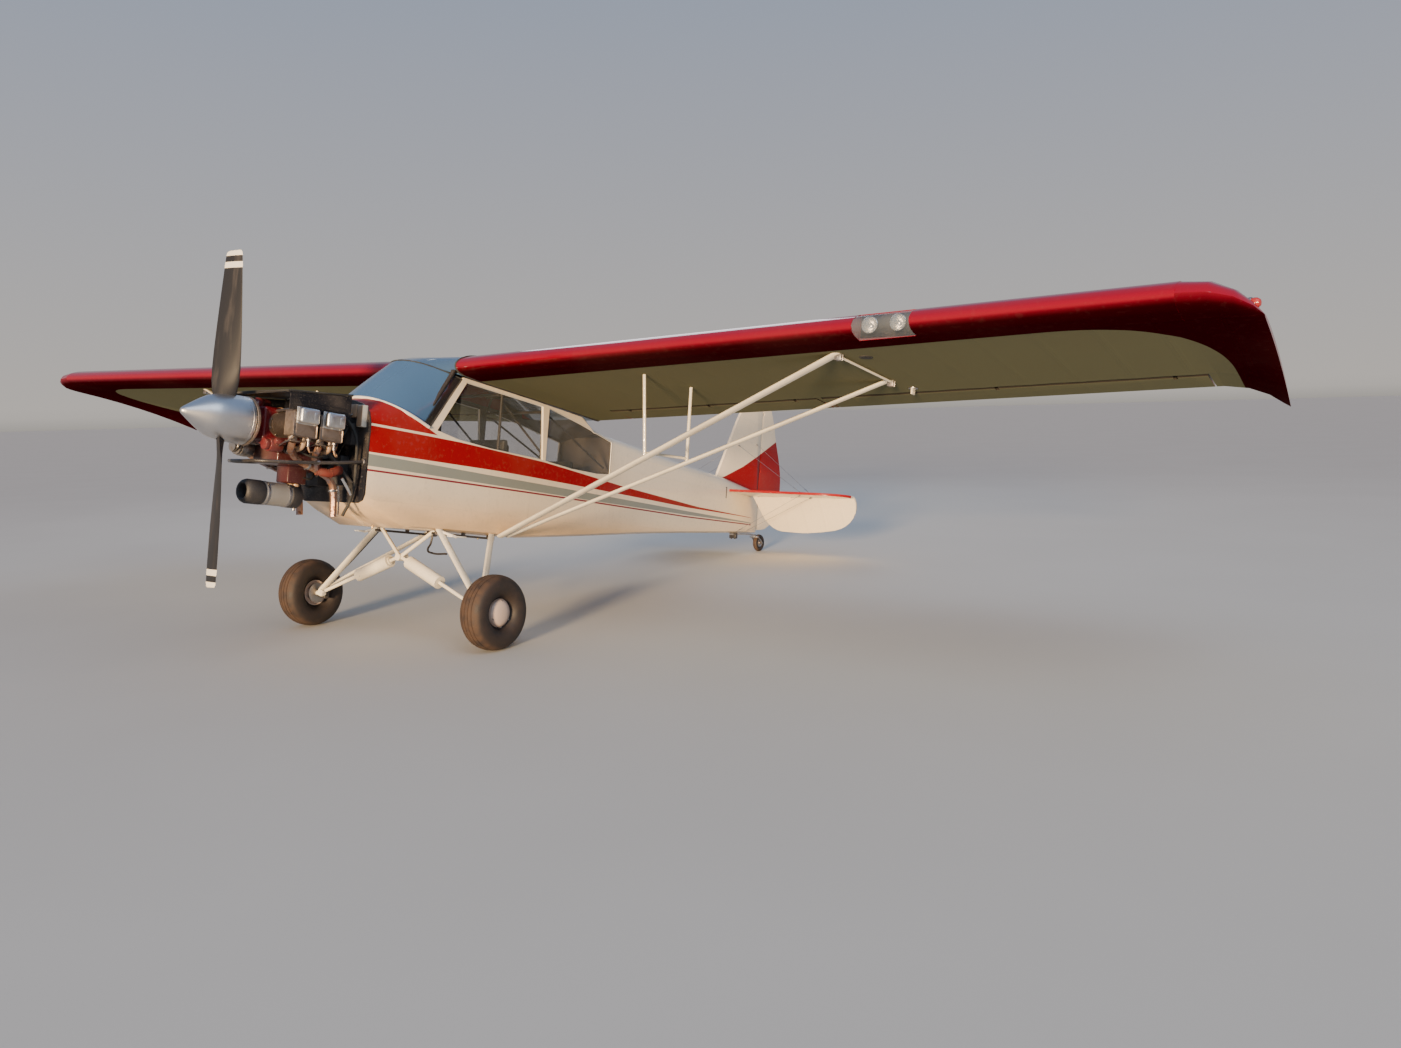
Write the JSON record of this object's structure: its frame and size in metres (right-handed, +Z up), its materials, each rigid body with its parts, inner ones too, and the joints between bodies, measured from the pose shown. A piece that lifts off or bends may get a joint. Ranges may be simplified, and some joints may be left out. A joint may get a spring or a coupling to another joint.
{
  "type": "light aircraft",
  "caption": "High-wing two-seat light aircraft with wing struts, tail wheel, open engine and hinged control surfaces, parked on its gear.",
  "frame": {"origin": "on the ground under the middle of the parked aircraft's box", "axes": "+X to the port wing tip, +Y aft to the tail, +Z up"},
  "size_m": [10.694, 6.9528, 2.5624],
  "materials": {
    "cream_fabric": "gloss-painted fabric",
    "red_fabric": "gloss-painted fabric",
    "red_paint": "gloss paint",
    "cream_tube": "gloss paint",
    "dark_tube": "worn paint",
    "dark_sheet": "worn paint",
    "bright_metal": "satin",
    "wheel_metal": "weathered",
    "blade_paint": "matt paint",
    "engine_red": "oily paint",
    "engine_metal": "oily",
    "exhaust_metal": "heat-stained",
    "drum_metal": "dull",
    "steel": "worn",
    "tyre": "matt",
    "clear_plastic": "polished",
    "black_leather": "worn",
    "black_plastic": "matt"
  },
  "bodies": {
    "airframe": {"boot_cowl": "red_paint", "belly_panel": "cream_fabric", "side_panel_port": "cream_fabric", "side_panel_starboard": "cream_fabric", "turtledeck": "cream_fabric", "side_window_front_port": "clear_plastic", "side_window_rear_port": "clear_plastic", "side_window_rear_starboard": "clear_plastic", "side_window_middle_starboard": "clear_plastic", "windscreen": "clear_plastic", "skylight": "clear_plastic", "instrument_panel": "black_plastic", "front_seat": "black_leather", "rear_seat": "black_leather", "cabin_floor": "black_plastic", "cabin_frame": "cream_tube", "wing_port": "red_fabric", "wing_starboard": "red_fabric", "wing_tip_port": "red_fabric", "wing_tip_starboard": "red_fabric", "landing_light": "clear_plastic", "wing_strut_front_port": "cream_tube", "wing_strut_front_starboard": "cream_tube", "wing_strut_rear_port": "cream_tube", "wing_strut_rear_starboard": "cream_tube", "gear_leg_port": "cream_tube", "gear_leg_starboard": "cream_tube", "cabane": "cream_tube", "tail_spring": "steel", "tail_cone": "cream_fabric", "stabiliser": "cream_fabric", "fin": "cream_fabric", "crankcase": "engine_red", "cylinders_port": "engine_metal", "cylinders_starboard": "engine_metal", "cooling_baffle": "dark_sheet", "oil_sump": "engine_red", "exhaust_port": "exhaust_metal", "exhaust_starboard": "exhaust_metal", "muffler_drum": "drum_metal", "engine_mount": "dark_tube", "cowl_rail": "dark_tube", "firewall": "dark_sheet"},
    "propeller_body": {"propeller": "blade_paint", "spinner": "bright_metal"},
    "wheel_port": {"tyre_port": "tyre", "hub_port": "wheel_metal"},
    "wheel_starboard": {"tyre_starboard": "tyre", "hub_starboard": "wheel_metal"},
    "tail_fork": {"tailwheel_fork": "steel"},
    "tail_wheel": {"tailwheel": "tyre"},
    "rudder_body": {"rudder": "cream_fabric"},
    "elevator_body": {"elevator": "cream_fabric"},
    "aileron_port_body": {"aileron_port": "red_fabric"},
    "aileron_starboard_body": {"aileron_starboard": "red_fabric"},
    "flap_port_body": {"flap_port": "red_fabric"},
    "flap_starboard_body": {"flap_starboard": "red_fabric"},
    "door_lower_body": {"door_lower": "cream_fabric"},
    "door_upper_body": {"door_upper": "cream_tube", "door_window": "clear_plastic"}
  },
  "joints": [
    {"name": "propeller_spin", "type": "hinge", "parent": "airframe", "child": "propeller_body", "pos_m": [0, -3.21461, 1.56237], "axis": [0, -0.9842, 0.1773], "continuous": true},
    {"name": "wheel_port_spin", "type": "hinge", "parent": "airframe", "child": "wheel_port", "pos_m": [0.945, -1.98904, 0.24923], "axis": [1, 0, 0], "continuous": true},
    {"name": "wheel_starboard_spin", "type": "hinge", "parent": "airframe", "child": "wheel_starboard", "pos_m": [-0.945, -1.98904, 0.24923], "axis": [1, 0, 0], "continuous": true},
    {"name": "tailwheel_steer", "type": "hinge", "parent": "airframe", "child": "tail_fork", "pos_m": [0, 2.91099, 0.18], "axis": [0, 0, 1], "range_deg": [-30, 30]},
    {"name": "tailwheel_spin", "type": "hinge", "parent": "tail_fork", "child": "tail_wheel", "pos_m": [0, 2.99899, 0.09121], "axis": [1, 0, 0], "continuous": true},
    {"name": "rudder_turn", "type": "hinge", "parent": "airframe", "child": "rudder_body", "pos_m": [0, 2.96902, 0.48883], "axis": [0, 0.1773, 0.9842], "range_deg": [-28, 28]},
    {"name": "elevator_tilt", "type": "hinge", "parent": "airframe", "child": "elevator_body", "pos_m": [0, 2.74215, 0.62827], "axis": [1, 0, 0], "range_deg": [0, 77]},
    {"name": "aileron_port_tilt", "type": "hinge", "parent": "airframe", "child": "aileron_port_body", "pos_m": [3.745, -0.33241, 1.64988], "axis": [0.9997, 0.0046, 0.0258], "range_deg": [-18, 18]},
    {"name": "aileron_starboard_tilt", "type": "hinge", "parent": "airframe", "child": "aileron_starboard_body", "pos_m": [-3.745, -0.33241, 1.64988], "axis": [0.9997, -0.0046, -0.0258], "range_deg": [-18, 18]},
    {"name": "flap_port_drop", "type": "hinge", "parent": "airframe", "child": "flap_port_body", "pos_m": [1.6, -0.34237, 1.5946], "axis": [-0.9997, -0.0046, -0.0258], "range_deg": [0, 50]},
    {"name": "flap_starboard_drop", "type": "hinge", "parent": "airframe", "child": "flap_starboard_body", "pos_m": [-1.6, -0.34237, 1.5946], "axis": [-0.9997, 0.0046, 0.0258], "range_deg": [0, 50]},
    {"name": "door_lower_open", "type": "hinge", "parent": "airframe", "child": "door_lower_body", "pos_m": [-0.361, -1.62874, 0.96874], "axis": [0, -0.9842, 0.1773], "range_deg": [0, 150]},
    {"name": "door_upper_open", "type": "hinge", "parent": "airframe", "child": "door_upper_body", "pos_m": [-0.361, -1.35928, 1.71986], "axis": [0, 0.9842, -0.1773], "range_deg": [0, 85]}
  ],
  "couplings": [
    {"joint": "aileron_starboard_tilt", "follows": "aileron_port_tilt", "ratio": -1},
    {"joint": "flap_starboard_drop", "follows": "flap_port_drop", "ratio": 1}
  ]
}
